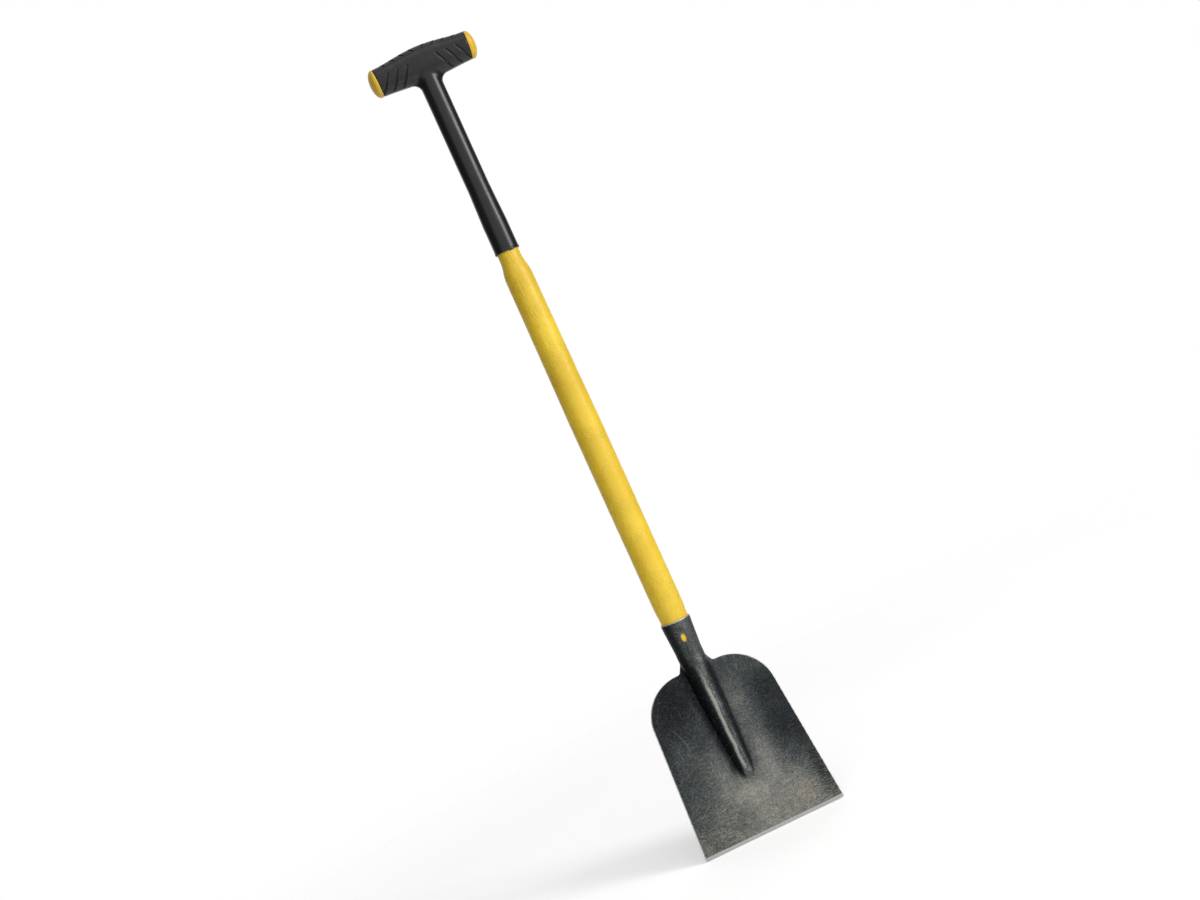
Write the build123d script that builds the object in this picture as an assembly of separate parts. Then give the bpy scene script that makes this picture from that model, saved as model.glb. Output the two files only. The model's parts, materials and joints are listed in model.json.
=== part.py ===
from build123d import *
import math
import os

# Roofing shovel, millimetres. +Z runs up the shaft, the load face looks towards -Y, and X is across.
# The origin is the centre of the cutting edge's end face.

# Driving dimensions
OVERALL_LENGTH = 1050.0
SHAFT_DIAMETER = 38.0
CORE_DIAMETER = 20.0
SHEET = 2.0
LIFT_DEG = 22.0

BLADE_LENGTH = 220.0
EDGE_WIDTH = 184.0
SHOULDER_WIDTH = 165.0
SHOULDER_RADIUS = 55.0
BEVEL_LENGTH = 4.0
BEVEL_LAND = 1.0
EDGE_CORNER_RADIUS = 2.5

SOCKET_LENGTH = 65.0
MOUTH_RADIUS = 19.75
NECK_RADIUS = 17.2
BEND_RADIUS = 52.0
REAR_OPENING_DEPTH = 47.0
WEB_HALF_WIDTH = 23.3
WEB_WAIST = (18.3, 9.0)
WEB_ROOT = (14.4, 18.8)
RIDGE_LENGTH = 143.0
RIDGE_START_RISE = 3.5
RIDGE_END_SINK = 4.5
RIDGE_END_RADIUS = 10.5
SLOT_DEPTH = 23.0
SLOT_WIDTH = 5.7
SLOT_LENGTH = 10.3
SEAM_GAP = 0.8

SCREW_DIAMETER = 4.0
SCREW_LENGTH = 20.0
SCREW_HEAD_DIAMETER = 8.5
SCREW_HEAD_HEIGHT = 2.6
SCREW_HEAD_RIM = 0.91
SCREW_DOME_SHARES = (0.66, 0.82)
SCREW_SEAT = 0.25
SCREW_HOLE_CLEARANCE = 0.2
DRIVE_WIDTH = 1.0
DRIVE_LENGTH = 4.6
DRIVE_DEPTH = 1.2

GRIP_LENGTH = 141.5
GRIP_END_RADIUS = 17.9
GRIP_CROWN = 5.8
GRIP_BELLY = 3.0
GRIP_SWELL = 1.2
CAP_WIDTH = 10.0
CAP_DOME = 8.3
CAP_LEAN_DEG = 2.9
CAP_GAP = 0.4
CAP_SPIGOT_LENGTH = 9.0
CAP_NOSE_RADIUS = 1.0
QUARTER_BEZIER = 0.5523
BAR_CORE_DIAMETER = 26.0
BAR_CORE_WALL = 3.0
GRIP_FILLET = 11.0

SLEEVE_RADIUS = 14.3
SLEEVE_END_RADIUS = 15.8
SLEEVE_LIP_RADIUS = 16.4
SLEEVE_LIP_HEIGHT = 3.0
SLEEVE_LIP_CHAMFER = 0.4
SLEEVE_TAPER_START = 168.0
SLEEVE_TAPER_END = 216.0
SLEEVE_END = 255.0
SLEEVE_WALL = 1.75
SOCKET_INSERT_RADIUS = 12.8
SOCKET_INSERT_END = 60.0
CORE_TOP_BELOW_BAR = 2.0

JACKET_SHOULDER_START = 262.0
JACKET_SHOULDER_END = 292.0
JACKET_SHOULDER_RADIUS = 17.7
JACKET_FULL_FROM = 480.0
JACKET_NECKING = 26.0
JACKET_NECKING_BULGE = 0.6
JACKET_INSIDE_SOCKET = 40.0
FIT_GAP = 0.05
CUT_MARGIN = 1.0

# Places worked out from the driving dimensions
LIFT = math.radians(LIFT_DEG)
EDGE_LAND_BACK = -BEVEL_LAND / 2
FRONT = EDGE_LAND_BACK + SHEET
SHAFT_Y = BLADE_LENGTH * math.sin(LIFT)
MOUTH_Z = BLADE_LENGTH * math.cos(LIFT) + SOCKET_LENGTH
BAR_Z = OVERALL_LENGTH - GRIP_CROWN - GRIP_END_RADIUS
BLADE_PLANE = Plane(
    origin=(0, 0, 0),
    x_dir=(1, 0, 0),
    z_dir=(0, -math.cos(LIFT), math.sin(LIFT)),
)
SIDE_PLANE = Plane(origin=(0, 0, 0), x_dir=(0, 1, 0), z_dir=(1, 0, 0))


def blade_point(up, out):
    """The point (Y, Z) this far up the blade from its edge and this far out to the front."""
    y = up * math.sin(LIFT) - out * math.cos(LIFT)
    z = up * math.cos(LIFT) + out * math.sin(LIFT)
    return y, z


def cone_between(start, end, start_radius, end_radius):
    """A frustum between two points of the X = 0 plane, each given as (Y, Z)."""
    a = Vector(0, *start)
    b = Vector(0, *end)
    length = (b - a).length
    frame = Plane(origin=a, z_dir=b - a)
    return Solid.make_cone(start_radius, end_radius, length, frame)


def ridge_lean():
    """The lean of the ridge's own axis from the shaft's, in radians."""
    sink = RIDGE_START_RISE + RIDGE_END_SINK
    return LIFT - math.atan2(sink, RIDGE_LENGTH)


def ridge_tip():
    """The centre of the ridge's round nose, as (Y, Z)."""
    return blade_point(BLADE_LENGTH - RIDGE_LENGTH, FRONT - RIDGE_END_SINK)


def bend_points():
    """The start, middle and end (Y, Z) of the bend that joins the shaft's axis to the ridge's."""
    lean = ridge_lean()
    tip = ridge_tip()
    crossing_z = tip[1] + (SHAFT_Y - tip[0]) / math.tan(lean)
    start = (SHAFT_Y, crossing_z + BEND_RADIUS * math.tan(lean / 2))
    points = [start]
    for turned in (lean / 2, lean):
        y = SHAFT_Y - BEND_RADIUS * (1 - math.cos(turned))
        z = start[1] - BEND_RADIUS * math.sin(turned)
        points.append((y, z))
    return points


def neck_depth():
    """How far below its mouth the socket's straight cone ends."""
    return MOUTH_Z - bend_points()[0][1]


def neck_bend(radius):
    """The bent tube between the straight socket and the ridge."""
    path = ThreePointArc(*(Vector(0, *p) for p in bend_points()))
    section = Plane(origin=path @ 0, z_dir=path % 0) * Circle(radius)
    return sweep(section, path)


def tapered_tube(inset):
    """The socket, neck and ridge as one tapered solid, inset from the outer surface."""
    start, _, finish = bend_points()
    tip = ridge_tip()
    above = CUT_MARGIN if inset else 0.0
    mouth = (SHAFT_Y, MOUTH_Z + above)
    socket = cone_between(mouth, start, MOUTH_RADIUS - inset, NECK_RADIUS - inset)
    bend = neck_bend(NECK_RADIUS - inset)
    ridge = cone_between(finish, tip, NECK_RADIUS - inset, RIDGE_END_RADIUS - inset)
    nose = Pos(0, *tip) * Sphere(RIDGE_END_RADIUS - inset)
    return socket + bend + ridge + nose


def behind_sheet():
    """The space behind the blade's back face and behind the socket's slanted rear opening."""
    corner = blade_point(BLADE_LENGTH, EDGE_LAND_BACK)
    low = blade_point(-BLADE_LENGTH, EDGE_LAND_BACK)
    slope = (MOUTH_Z - REAR_OPENING_DEPTH - corner[1]) / NECK_RADIUS
    high = (corner[0] + BLADE_LENGTH, corner[1] + BLADE_LENGTH * slope)
    outline = Polyline(corner, high, (high[0], low[1]), low, close=True)
    return extrude(SIDE_PLANE * make_face(outline), EDGE_WIDTH, both=True)


def blade_outline():
    """The flat sheet seen square on: edge, tapering sides, round shoulders and the neck's webs."""
    half_edge = EDGE_WIDTH / 2
    half_top = SHOULDER_WIDTH / 2
    arc_x = half_top - SHOULDER_RADIUS
    arc_y = BLADE_LENGTH - SHOULDER_RADIUS
    web_top = BLADE_LENGTH + WEB_ROOT[1]
    slant = SHOULDER_RADIUS * math.sin(math.radians(45))
    side = Line((half_edge, 0), (half_top, arc_y))
    shoulder = ThreePointArc(
        (half_top, arc_y), (arc_x + slant, arc_y + slant), (arc_x, BLADE_LENGTH)
    )
    ledge = Line((arc_x, BLADE_LENGTH), (WEB_HALF_WIDTH, BLADE_LENGTH))
    web = ThreePointArc(
        (WEB_HALF_WIDTH, BLADE_LENGTH),
        (WEB_WAIST[0], BLADE_LENGTH + WEB_WAIST[1]),
        (WEB_ROOT[0], web_top),
    )
    cap = Line((WEB_ROOT[0], web_top), (0, web_top))
    middle = Line((0, web_top), (0, 0))
    edge = Line((0, 0), (half_edge, 0))
    half = make_face([side, shoulder, ledge, web, cap, middle, edge])
    return half + mirror(half, Plane.YZ)


def blade_sheet():
    """The flat part of the head, bevelled along the cutting edge."""
    sheet = extrude(Pos(0, 0, EDGE_LAND_BACK) * blade_outline(), SHEET)
    corners = [
        e
        for e in sheet.edges().filter_by(Axis.Z)
        if e.center().Y < CUT_MARGIN and abs(e.center().X) > EDGE_WIDTH / 3
    ]
    sheet = fillet(corners, EDGE_CORNER_RADIUS)
    ground = Polyline(
        (-CUT_MARGIN, FRONT + CUT_MARGIN),
        (-CUT_MARGIN, EDGE_LAND_BACK + BEVEL_LAND),
        (0, EDGE_LAND_BACK + BEVEL_LAND),
        (BEVEL_LENGTH, FRONT),
        (BEVEL_LENGTH, FRONT + CUT_MARGIN),
        close=True,
    )
    bevel = extrude(SIDE_PLANE * make_face(ground), EDGE_WIDTH, both=True)
    return BLADE_PLANE * (sheet - bevel)


def slot_cutter():
    """The round-ended slot through the front wall of the socket."""
    plane = Plane(
        origin=(0, SHAFT_Y, MOUTH_Z - SLOT_DEPTH), x_dir=(0, 0, 1), z_dir=(0, -1, 0)
    )
    return extrude(plane * SlotOverall(SLOT_LENGTH, SLOT_WIDTH), 2 * MOUTH_RADIUS)


def seam_cutter():
    """The butt seam down the back of the rolled socket."""
    seam = Box(
        SEAM_GAP,
        2 * MOUTH_RADIUS,
        2 * SOCKET_LENGTH,
        align=(Align.CENTER, Align.MIN, Align.CENTER),
    )
    return Pos(0, SHAFT_Y, MOUTH_Z) * seam


def screw_axis_plane():
    """The plane on the shaft's axis from which the socket screw points out to the back."""
    return Plane(
        origin=(0, SHAFT_Y, MOUTH_Z - SLOT_DEPTH), x_dir=(1, 0, 0), z_dir=(0, 1, 0)
    )


def socket_back_at_screw():
    """The distance from the shaft's axis to the socket's outer back face at the screw."""
    share = SLOT_DEPTH / neck_depth()
    return MOUTH_RADIUS + (NECK_RADIUS - MOUTH_RADIUS) * share


def screw_hole(clearance):
    """The hole along the screw's shank."""
    reach = socket_back_at_screw()
    hole = Cylinder(
        SCREW_DIAMETER / 2 + clearance,
        SCREW_LENGTH + 2 * CUT_MARGIN,
        align=(Align.CENTER, Align.CENTER, Align.MAX),
    )
    return screw_axis_plane() * (Pos(0, 0, reach + CUT_MARGIN) * hole)


def make_blade_head():
    outer = tapered_tube(0.0) - behind_sheet()
    head = outer + blade_sheet()
    head = head - tapered_tube(SHEET)
    head = head - slot_cutter() - seam_cutter()
    return head - screw_hole(SCREW_HOLE_CLEARANCE)


def make_socket_screw():
    """A round-headed screw whose head bears on the back of the socket."""
    reach = socket_back_at_screw() + SCREW_SEAT
    head_r = SCREW_HEAD_DIAMETER / 2
    top = reach + SCREW_HEAD_HEIGHT
    dome_r = head_r * SCREW_DOME_SHARES[0]
    dome_top = reach + SCREW_HEAD_HEIGHT * SCREW_DOME_SHARES[1]
    head_face = make_face(
        [
            Line((0, reach), (head_r, reach)),
            Line((head_r, reach), (head_r, reach + SCREW_HEAD_RIM)),
            ThreePointArc((head_r, reach + SCREW_HEAD_RIM), (dome_r, dome_top), (0, top)),
            Line((0, top), (0, reach)),
        ]
    )
    shank_r = SCREW_DIAMETER / 2
    tip = reach - SCREW_LENGTH
    shank_face = make_face(
        Polyline(
            (0, tip), (shank_r, tip + shank_r * 2), (shank_r, reach), (0, reach), close=True
        )
    )
    profile = Plane.XZ * (head_face + shank_face)
    screw = revolve(profile, Axis.Z, 360)
    slot = Box(DRIVE_WIDTH, DRIVE_LENGTH, 2 * DRIVE_DEPTH)
    for turn in (0, 90):
        screw = screw - Pos(0, 0, top) * (Rot(0, 0, turn) * slot)
    return screw_axis_plane() * screw


def jacket_face():
    """Half of the jacket's outer shape, from the shaft's axis out, in the X-Z plane."""
    body_r = SHAFT_DIAMETER / 2
    bottom = MOUTH_Z - JACKET_INSIDE_SOCKET
    share = JACKET_INSIDE_SOCKET / neck_depth()
    mouth_r = MOUTH_RADIUS - SHEET - 2 * FIT_GAP
    bottom_r = mouth_r + (NECK_RADIUS - MOUTH_RADIUS) * share
    under_sleeve_r = SLEEVE_RADIUS - SLEEVE_WALL
    neck_r = SLEEVE_END_RADIUS - SLEEVE_WALL
    top = BAR_Z - SOCKET_INSERT_END
    taper_top = BAR_Z - SLEEVE_TAPER_START
    taper_end = BAR_Z - SLEEVE_TAPER_END
    flare_top = BAR_Z - JACKET_SHOULDER_START
    flare_end = BAR_Z - JACKET_SHOULDER_END
    reach = (flare_top - flare_end) / 2
    full_top = BAR_Z - JACKET_FULL_FROM
    necking_top = MOUTH_Z + JACKET_NECKING
    return make_face(
        [
            Line((0, bottom), (bottom_r, bottom)),
            Line((bottom_r, bottom), (mouth_r, MOUTH_Z)),
            Bezier(
                (mouth_r, MOUTH_Z),
                (mouth_r + JACKET_NECKING_BULGE, MOUTH_Z + JACKET_NECKING / 2),
                (body_r, MOUTH_Z + JACKET_NECKING / 2),
                (body_r, necking_top),
            ),
            Line((body_r, necking_top), (body_r, full_top)),
            Line((body_r, full_top), (JACKET_SHOULDER_RADIUS, flare_end)),
            Bezier(
                (JACKET_SHOULDER_RADIUS, flare_end),
                (JACKET_SHOULDER_RADIUS, flare_end + reach),
                (neck_r, flare_top - reach),
                (neck_r, flare_top),
            ),
            Line((neck_r, flare_top), (neck_r, taper_end)),
            Line((neck_r, taper_end), (under_sleeve_r, taper_top)),
            Line((under_sleeve_r, taper_top), (under_sleeve_r, top)),
            Line((under_sleeve_r, top), (0, top)),
            Line((0, top), (0, bottom)),
        ]
    )


def jacket_solid():
    """The jacket's outer shape as one solid with no bore."""
    return Pos(0, SHAFT_Y, 0) * revolve(Plane.XZ * jacket_face(), Axis.Z, 360)


def core_bore(clearance):
    """The round space that the fibreglass core fills."""
    bottom = MOUTH_Z - JACKET_INSIDE_SOCKET
    top = BAR_Z - CORE_TOP_BELOW_BAR
    bore = Cylinder(
        CORE_DIAMETER / 2 + clearance,
        top - bottom,
        align=(Align.CENTER, Align.CENTER, Align.MIN),
    )
    return Pos(0, SHAFT_Y, bottom) * bore


def make_shaft_core():
    return core_bore(0.0) - screw_hole(FIT_GAP)


def make_shaft_jacket():
    return jacket_solid() - core_bore(FIT_GAP) - screw_hole(FIT_GAP)


def end_plane_cutter(side, inset):
    """Everything outside the leaning plane between the bar's rubber and an end cap."""
    block = Box(
        GRIP_LENGTH,
        4 * GRIP_END_RADIUS,
        4 * GRIP_END_RADIUS,
        align=(Align.MIN, Align.CENTER, Align.CENTER),
    )
    start = GRIP_LENGTH / 2 - CAP_WIDTH - inset
    leaned = Pos(start, 0, 0) * (Rot(0, CAP_LEAN_DEG, 0) * block)
    placed = leaned if side > 0 else mirror(leaned, Plane.YZ)
    return Pos(0, SHAFT_Y, BAR_Z) * placed


def bar_shape():
    """The crowned T-bar's rubber, through oval sections, a little past both caps' planes."""
    half = GRIP_LENGTH / 2 - CAP_WIDTH / 2
    sections = []
    for share in (-1.0, -0.5, 0.0, 0.5, 1.0):
        rise = math.cos(share * math.pi / 2) ** 2
        top = GRIP_END_RADIUS + GRIP_CROWN * rise
        under = GRIP_END_RADIUS + GRIP_BELLY * rise
        deep = GRIP_END_RADIUS + GRIP_SWELL * rise
        place = Plane(
            origin=(share * half, 0, (top - under) / 2), x_dir=(0, 1, 0), z_dir=(1, 0, 0)
        )
        sections.append(place * Ellipse(deep, (top + under) / 2))
    return Pos(0, SHAFT_Y, BAR_Z) * loft(sections)


def sleeve_shape():
    """The neck sleeve's outer shape, with a small lip at its lower end."""
    lip_top = SLEEVE_END - SLEEVE_LIP_HEIGHT
    profile = make_face(
        Polyline(
            (0, 0),
            (SLEEVE_RADIUS, 0),
            (SLEEVE_RADIUS, -SLEEVE_TAPER_START),
            (SLEEVE_END_RADIUS, -SLEEVE_TAPER_END),
            (SLEEVE_END_RADIUS, -lip_top),
            (SLEEVE_LIP_RADIUS, -lip_top - SLEEVE_LIP_HEIGHT / 2),
            (SLEEVE_LIP_RADIUS - SLEEVE_LIP_CHAMFER, -SLEEVE_END),
            (0, -SLEEVE_END),
            close=True,
        )
    )
    sleeve = revolve(Plane.XZ * profile, Axis.Z, 360)
    return Pos(0, SHAFT_Y, BAR_Z) * sleeve


def grip_core_shape():
    """The rigid T insert as a solid: a crossbar and a short downward socket."""
    bar = Rot(0, 90, 0) * Cylinder(BAR_CORE_DIAMETER / 2, GRIP_LENGTH)
    stem = Cylinder(
        SOCKET_INSERT_RADIUS,
        SOCKET_INSERT_END,
        align=(Align.CENTER, Align.CENTER, Align.MAX),
    )
    return Pos(0, SHAFT_Y, BAR_Z) * (bar + stem)


def cap_spigot(side, clearance):
    """The plug of an end cap, which goes into the end of the crossbar."""
    start = GRIP_LENGTH / 2 - CAP_WIDTH - CAP_SPIGOT_LENGTH - clearance
    plug = Cylinder(
        BAR_CORE_DIAMETER / 2 - BAR_CORE_WALL + clearance,
        CAP_SPIGOT_LENGTH + CAP_WIDTH / 2 + clearance,
        align=(Align.CENTER, Align.CENTER, Align.MIN),
    )
    placed = Pos(start, 0, 0) * (Rot(0, 90, 0) * plug)
    if side < 0:
        placed = mirror(placed, Plane.YZ)
    return Pos(0, SHAFT_Y, BAR_Z) * placed


def make_grip_core():
    core = grip_core_shape() - core_bore(FIT_GAP)
    for side in (-1, 1):
        core = core - end_plane_cutter(side, CAP_GAP) - cap_spigot(side, FIT_GAP)
    return core


def make_grip_cover():
    bar = bar_shape() + sleeve_shape()
    for side in (-1, 1):
        bar = bar - end_plane_cutter(side, CAP_GAP)
    joint = [
        e
        for e in bar.edges()
        if e.center().Z > BAR_Z - 3 * GRIP_END_RADIUS
        and abs(e.bounding_box().size.X - 2 * SLEEVE_RADIUS) < CUT_MARGIN
        and e.bounding_box().size.Y > SLEEVE_RADIUS
    ]
    bar = fillet(joint, GRIP_FILLET)
    return bar - grip_core_shape() - jacket_solid()


def make_end_cap(side):
    """A domed cap whose spigot plugs the crossbar. Its nose is flat over a very small circle."""
    straight = CAP_WIDTH - CAP_DOME
    start = GRIP_LENGTH / 2 - CAP_WIDTH
    root = start - GRIP_END_RADIUS * math.tan(math.radians(CAP_LEAN_DEG)) - CUT_MARGIN
    tip = GRIP_LENGTH / 2
    profile = make_face(
        [
            Line((root, 0), (root, GRIP_END_RADIUS)),
            Line((root, GRIP_END_RADIUS), (start + straight, GRIP_END_RADIUS)),
            Bezier(
                (start + straight, GRIP_END_RADIUS),
                (start + straight + CAP_DOME * QUARTER_BEZIER, GRIP_END_RADIUS),
                (tip, GRIP_END_RADIUS * QUARTER_BEZIER),
                (tip, CAP_NOSE_RADIUS),
            ),
            Line((tip, CAP_NOSE_RADIUS), (tip, 0)),
            Line((tip, 0), (root, 0)),
        ]
    )
    dome = revolve(Plane.XZ * profile, Axis.X, 360)
    if side < 0:
        dome = mirror(dome, Plane.YZ)
    dome = Pos(0, SHAFT_Y, BAR_Z) * dome
    return (dome & end_plane_cutter(side, 0.0)) + cap_spigot(side, 0.0)


def write(node, shape):
    shape.label = node
    export_step(shape, os.path.join("parts", node + ".step"))


os.makedirs("parts", exist_ok=True)
write("blade_head", make_blade_head())
write("socket_screw", make_socket_screw())
write("shaft_core", make_shaft_core())
write("shaft_jacket", make_shaft_jacket())
write("grip_core", make_grip_core())
write("grip_cover", make_grip_cover())
write("left_end_cap", make_end_cap(-1))
write("right_end_cap", make_end_cap(1))
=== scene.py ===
import json
import math

import bmesh
import bpy
import numpy as np
from mathutils import Matrix, Vector


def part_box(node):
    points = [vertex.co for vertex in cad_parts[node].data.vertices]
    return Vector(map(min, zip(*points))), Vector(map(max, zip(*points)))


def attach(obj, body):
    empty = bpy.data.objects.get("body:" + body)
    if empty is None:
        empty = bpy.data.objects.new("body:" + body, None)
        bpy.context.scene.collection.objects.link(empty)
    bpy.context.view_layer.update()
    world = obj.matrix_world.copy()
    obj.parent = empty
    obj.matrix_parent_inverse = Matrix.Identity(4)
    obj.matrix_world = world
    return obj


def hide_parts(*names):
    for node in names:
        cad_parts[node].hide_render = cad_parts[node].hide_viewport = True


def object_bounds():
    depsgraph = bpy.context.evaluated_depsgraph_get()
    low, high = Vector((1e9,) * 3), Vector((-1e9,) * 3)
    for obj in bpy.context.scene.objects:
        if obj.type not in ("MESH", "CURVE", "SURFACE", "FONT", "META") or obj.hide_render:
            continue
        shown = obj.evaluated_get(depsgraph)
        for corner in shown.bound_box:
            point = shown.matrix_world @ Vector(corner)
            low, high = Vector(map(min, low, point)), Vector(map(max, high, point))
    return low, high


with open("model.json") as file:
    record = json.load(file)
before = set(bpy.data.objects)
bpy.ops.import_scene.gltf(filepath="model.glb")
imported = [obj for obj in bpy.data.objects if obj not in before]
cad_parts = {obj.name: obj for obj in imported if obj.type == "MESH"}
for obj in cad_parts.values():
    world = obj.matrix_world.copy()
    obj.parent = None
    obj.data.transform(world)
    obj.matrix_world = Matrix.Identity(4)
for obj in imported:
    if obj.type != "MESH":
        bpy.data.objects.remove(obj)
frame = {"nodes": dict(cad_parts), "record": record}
cad_low, cad_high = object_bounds()

# Metres, in the row frame: +Z up the shaft, the load face towards -Y, X across.
MM = 0.001
FULL_TURN = 2 * math.pi

# Places, all from the frame
SHAFT_Y = (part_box("shaft_core")[0].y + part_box("shaft_core")[1].y) / 2
BAR_Z = (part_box("left_end_cap")[0].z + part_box("left_end_cap")[1].z) / 2
BAR_RADIUS = (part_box("left_end_cap")[1].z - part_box("left_end_cap")[0].z) / 2
BAR_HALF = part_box("grip_cover")[1].x
SLEEVE_END_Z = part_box("grip_cover")[0].z
MOUTH_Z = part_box("blade_head")[1].z
EDGE_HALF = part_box("blade_head")[1].x
MOUNTS = {mount["name"]: mount for mount in frame["record"]["mounts"]}
UP_BLADE = -np.array(MOUNTS["cutting_edge"]["axis"], float)
FRONT = np.cross(UP_BLADE, (-1.0, 0.0, 0.0))

# Mesh detail
BLADE_VOXEL = 0.5 * MM
GRIP_VOXEL = 0.5 * MM
JACKET_VOXEL = 0.9 * MM
CAP_VOXEL = 0.4 * MM
MOST_TRIANGLES = 190000

# Chevron grooves of the grip: distance of each tip from the middle, on one side
UPPER_TIPS = (5.8 * MM, 19.2 * MM, 32.7 * MM, 45.9 * MM)
UPPER_TIP_DEG = 50.0
UPPER_END_DEG = 100.0
UPPER_RUN = 11.0 * MM
LOWER_TIPS = (19.2 * MM, 32.3 * MM, 45.6 * MM)
LOWER_TIP_DEG = 7.0
LOWER_END_DEG = -72.0
LOWER_RUN = 14.0 * MM
GROOVE_HALF_WIDTH = 1.5 * MM
GROOVE_FLOOR_HALF = 0.7 * MM
GROOVE_DEPTH = 1.3 * MM

# The butt seam down the back of the rolled socket
SEAM_LENGTH = 48 * MM
SEAM_DEPTH = 0.5 * MM

# The blade's sheet: between these heights it turns into the neck, and below them it is dished and uneven
NECK_TOP_Z = 0.19
NECK_FOOT_Z = 0.15
DISH_DEPTH = 1.8 * MM
BROAD_DENTS = 0.35 * MM
SMALL_DENTS = 0.07 * MM
NECK_DENT_AT = (0.0, SHAFT_Y - 17 * MM, MOUTH_Z - 71 * MM)
NECK_DENT_DEPTH = 0.5 * MM
NECK_ROUGHNESS = 0.10 * MM

# The ground strip along the cutting edge: where it ends, and where it is full
GROUND_STRIP = (4.4 * MM, 4.0 * MM)

# Heights up the shaft where a painted tone of the blade starts to show, and where it is full: the ridge's
# painted shade and highlight, the crest's painted highlight, the ridge's soft painted highlight, and the
# socket's tone with its painted side shade
RIDGE_PAINTED_LIGHT_Z = (0.235, 0.20)
CREST_HIGHLIGHT_Z = (0.225, 0.16)
SOFT_HIGHLIGHT_Z = (0.13, 0.18)
SOCKET_TONE_AND_SHADE_Z = (0.195, 0.22)

# The ridge's foot in mm: its half width at the nose, how much it widens, the nose's place, and the run up.
# The painted shadows of the grooves beside the ridge follow it.
FOOT_AT_NOSE = 9.4
FOOT_WIDENING = 7.2
NOSE_UP = 77
NOSE_RUN = 141

# Scratches of the blade: cell, width, share of the cells that have one, bow, strength and reach
BLADE_SCRATCHES = (
    (40 * MM, 0.24 * MM, 0.40, 0.4, 0.75, 0.6),
    (19 * MM, 0.20 * MM, 0.45, 0.3, 0.70, 0.55),
    (10 * MM, 0.18 * MM, 0.50, -0.2, 0.70, 0.42),
    (5.5 * MM, 0.18 * MM, 0.55, 0.1, 0.75, 0.32),
    (3.2 * MM, 0.17 * MM, 0.45, 0.1, 0.70, 0.38),
    (2.1 * MM, 0.16 * MM, 0.40, 0.0, 0.65, 0.34),
)
EDGE_SCRATCH_CELLS = (15 * MM, 10 * MM, 7 * MM, 5 * MM, 3.5 * MM)
EDGE_SCRATCH_SPREAD = 1.1

# The lump of moulding flash on the sleeve's lip
FLASH_AT = (5.5 * MM, SHAFT_Y - 15.5 * MM, SLEEVE_END_Z + 0.5 * MM)
FLASH_RISE = 0.5 * MM
FLASH_DROP = 0.9 * MM

# The jacket: nearer to the axis than this is its bore. A small raised ring is on its front, below the sleeve.
JACKET_BORE_LIMIT = 11.5 * MM
RING_ACROSS = 1 * MM
RING_BELOW_SLEEVE = 4.5 * MM
RING_RADIUS = 2.7 * MM
RING_RISE = 0.28 * MM

# Painted reflections and shade on the blade: light and dark areas laid into its skin colour, with place and
# reach across and up the blade in mm, and gain
PAINTED_REFLECTION_SPOTS = (
    ((28, 100), (15, 40), 0.27),
    ((-30, 84), (19, 34), 0.25),
    ((-4, 56), (26, 13), 0.17),
    ((36, 34), (34, 20), 0.05),
    ((28, 165), (12, 26), 0.12),
    ((82, 46), (11, 34), -0.34),
    ((66, 112), (20, 26), -0.20),
    ((72, 165), (20, 26), -0.14),
    ((-64, 178), (34, 36), -0.26),
    ((-36, 200), (26, 28), -0.26),
    ((-66, 34), (24, 26), -0.12),
    ((-84, 16), (16, 30), -0.10),
)

# Camera and light
VIEW_AZIMUTH_DEG = -5.0
VIEW_HEIGHT = 0.52
VIEW_DISTANCE = 1.95
VIEW_ROLL_DEG = 24.4
VIEW_AIM = (0.0, 0.05, 0.5)
LENS = 49.0
FLOOR_RADIUS = 1.6
FLOOR_Y = 0.05
FLOOR_GAP = 0.3 * MM
KEY_PLACE = (2.0, -1.3, 1.5)
KEY_AIM = (0, 0.05, 0.4)
KEY_SIZE = (0.8, 1.4)
KEY_POWER = 34
STUDIO_DIM = 0.10
# Each light of the surroundings: its direction, the cosines where it starts and is full, and its strength
STUDIO_LIGHTS = (
    ((0.30, -1.0, 0.30), 0.42, 0.62, 0.80),
    ((0.0, 1.0, 0.1), 0.60, 0.85, 0.9),
    ((0.0, 0.0, 1.0), 0.70, 0.95, 0.5),
)


def smooth_step(value, start, end):
    """From 0 at start to 1 at end, eased at both."""
    t = np.clip((value - start) / (end - start), 0.0, 1.0)
    return t * t * (3 - 2 * t)


def space_noise(points, cell, seed):
    """Smooth noise from -1 to 1 through space, with one random value to each corner of its cells."""
    size = 64
    table = np.random.default_rng(seed).uniform(-1, 1, (size, size, size))
    scaled = points / cell
    base = np.floor(scaled).astype(int)
    part = scaled - base
    part = part * part * (3 - 2 * part)
    total = np.zeros(len(points))
    for corner in np.ndindex(2, 2, 2):
        share = np.prod(np.where(corner, part, 1 - part), axis=1)
        x, y, z = ((base + corner) % size).T
        total += share * table[x, y, z]
    return total


def points_of(mesh):
    flat = np.empty(len(mesh.vertices) * 3, np.float32)
    mesh.vertices.foreach_get("co", flat)
    return flat.reshape(-1, 3).astype(float)


def normals_of(mesh):
    flat = np.empty(len(mesh.vertices) * 3, np.float32)
    mesh.vertex_normals.foreach_get("vector", flat)
    return flat.reshape(-1, 3).astype(float)


def edges_of(mesh):
    flat = np.empty(len(mesh.edges) * 2, np.int32)
    mesh.edges.foreach_get("vertices", flat)
    return flat.reshape(-1, 2)


def set_points(mesh, points):
    mesh.vertices.foreach_set("co", points.astype(np.float32).ravel())
    mesh.update()


def set_layer(mesh, name, values):
    """A number for each vertex, which materials read by its name."""
    layer = mesh.attributes.new(name, "FLOAT", "POINT")
    layer.data.foreach_set("value", values.astype(np.float32))


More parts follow.
